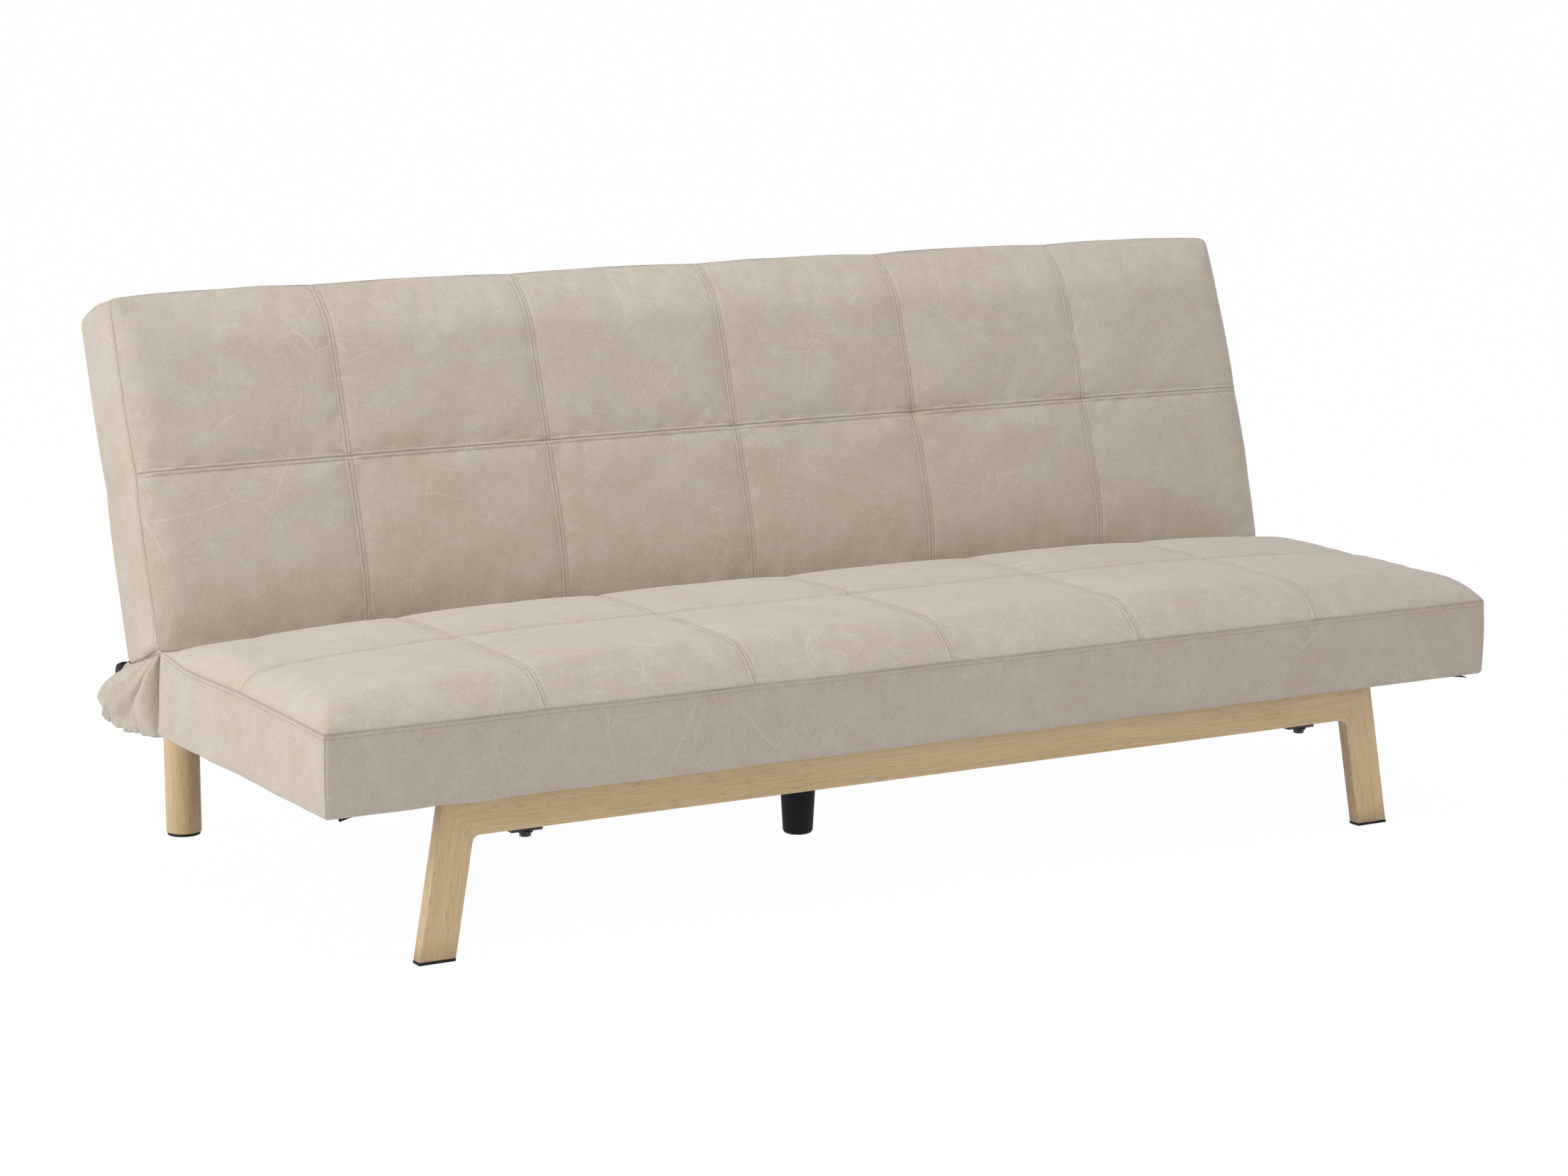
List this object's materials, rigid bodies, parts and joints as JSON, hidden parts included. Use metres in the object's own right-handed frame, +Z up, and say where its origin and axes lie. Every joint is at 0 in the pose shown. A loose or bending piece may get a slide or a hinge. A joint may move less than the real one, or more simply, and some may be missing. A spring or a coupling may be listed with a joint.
{
  "type": "click clack sofa bed",
  "caption": "Click clack sofa bed: padded seat and padded back on ratchet hinges, on a front leg frame and rear legs; the back folds flat to make a bed.",
  "frame": {"origin": "on the floor, midway between the sofa's ends and midway between its front and rear with the back upright", "axes": "+X along the sofa to the sitter's left hand, which is the viewer's right, +Y to the rear, +Z up"},
  "size_m": [1.806, 0.866, 0.7784],
  "materials": {
    "sofa_cloth": "brushed sand-coloured canvas with a fine nap and faint pale creases",
    "lining_cloth": "thin black felt",
    "black_steel": "satin black powder coat",
    "zinc_steel": "bright zinc plate",
    "dark_steel": "black oxide",
    "oak_foil": "light oak foil over steel tube",
    "oak_wood": "light oak, matt lacquer",
    "birch_wood": "bent birch laminate",
    "black_plastic": "matt black moulding"
  },
  "bodies": {
    "seat": {"seat_cushion": "sofa_cloth", "seat_frame_front": "black_steel", "seat_frame_rear": "black_steel", "seat_frame_left": "black_steel", "seat_frame_right": "black_steel", "seat_slat_1": "birch_wood", "seat_slat_2": "birch_wood", "seat_slat_3": "birch_wood", "seat_slat_4": "birch_wood", "seat_slat_5": "birch_wood", "seat_slat_6": "birch_wood", "seat_slat_7": "birch_wood", "seat_dust_cover": "lining_cloth", "front_rail": "oak_foil", "front_leg_left": "oak_foil", "front_leg_right": "oak_foil", "front_foot_cap_left": "black_plastic", "front_foot_cap_right": "black_plastic", "front_clamp_plate_left": "black_steel", "front_clamp_plate_right": "black_steel", "front_clamp_bolt_left": "dark_steel", "front_clamp_bolt_right": "dark_steel", "base_arm_left": "black_steel", "base_arm_right": "black_steel", "seat_riser_left": "black_steel", "seat_riser_right": "black_steel", "rear_leg_left": "oak_wood", "rear_leg_right": "oak_wood", "rear_glide_left": "black_plastic", "rear_glide_right": "black_plastic", "rear_cross_tube": "black_steel", "centre_rail": "black_steel", "centre_leg": "black_plastic", "hinge_seat_plate_left": "black_steel", "hinge_seat_plate_right": "black_steel", "hinge_pawl_spring_left": "zinc_steel", "hinge_pawl_spring_right": "zinc_steel", "hinge_pivot_rivet_left": "zinc_steel", "hinge_pivot_rivet_right": "zinc_steel"},
    "pawl_left": {"hinge_pawl_left": "zinc_steel"},
    "pawl_right": {"hinge_pawl_right": "zinc_steel"},
    "back": {"hinge_ratchet_left": "zinc_steel", "hinge_ratchet_right": "zinc_steel", "hinge_back_plate_left": "black_steel", "hinge_back_plate_right": "black_steel", "back_cushion": "sofa_cloth", "back_frame_bottom": "black_steel", "back_frame_top": "black_steel", "back_frame_left": "black_steel", "back_frame_right": "black_steel", "back_slat_1": "birch_wood", "back_slat_2": "birch_wood", "back_slat_3": "birch_wood", "back_slat_4": "birch_wood", "back_slat_5": "birch_wood", "back_slat_6": "birch_wood", "back_rear_panel": "sofa_cloth", "back_cover_gather_left": "sofa_cloth", "back_cover_gather_right": "sofa_cloth"}
  },
  "joints": [
    {"name": "back_recline", "type": "hinge", "parent": "seat", "child": "back", "pos_m": [0, 0.11241, 0.30049], "axis": [1, 0, 0], "range_deg": [-72, 14.4], "deforming": ["back_cover_gather_left", "back_cover_gather_right"]},
    {"name": "pawl_left_tilt", "type": "hinge", "parent": "seat", "child": "pawl_left", "pos_m": [-0.8826, 0.07041, 0.26699], "axis": [1, 0, 0], "range_deg": [-15, 0], "stiffness_Nm_per_rad": 0.5, "springref_deg": 2.86, "deforming": ["hinge_pawl_spring_left"]},
    {"name": "pawl_right_tilt", "type": "hinge", "parent": "seat", "child": "pawl_right", "pos_m": [0.8826, 0.07041, 0.26699], "axis": [1, 0, 0], "range_deg": [-15, 0], "stiffness_Nm_per_rad": 0.5, "springref_deg": 2.86, "deforming": ["hinge_pawl_spring_right"]}
  ]
}
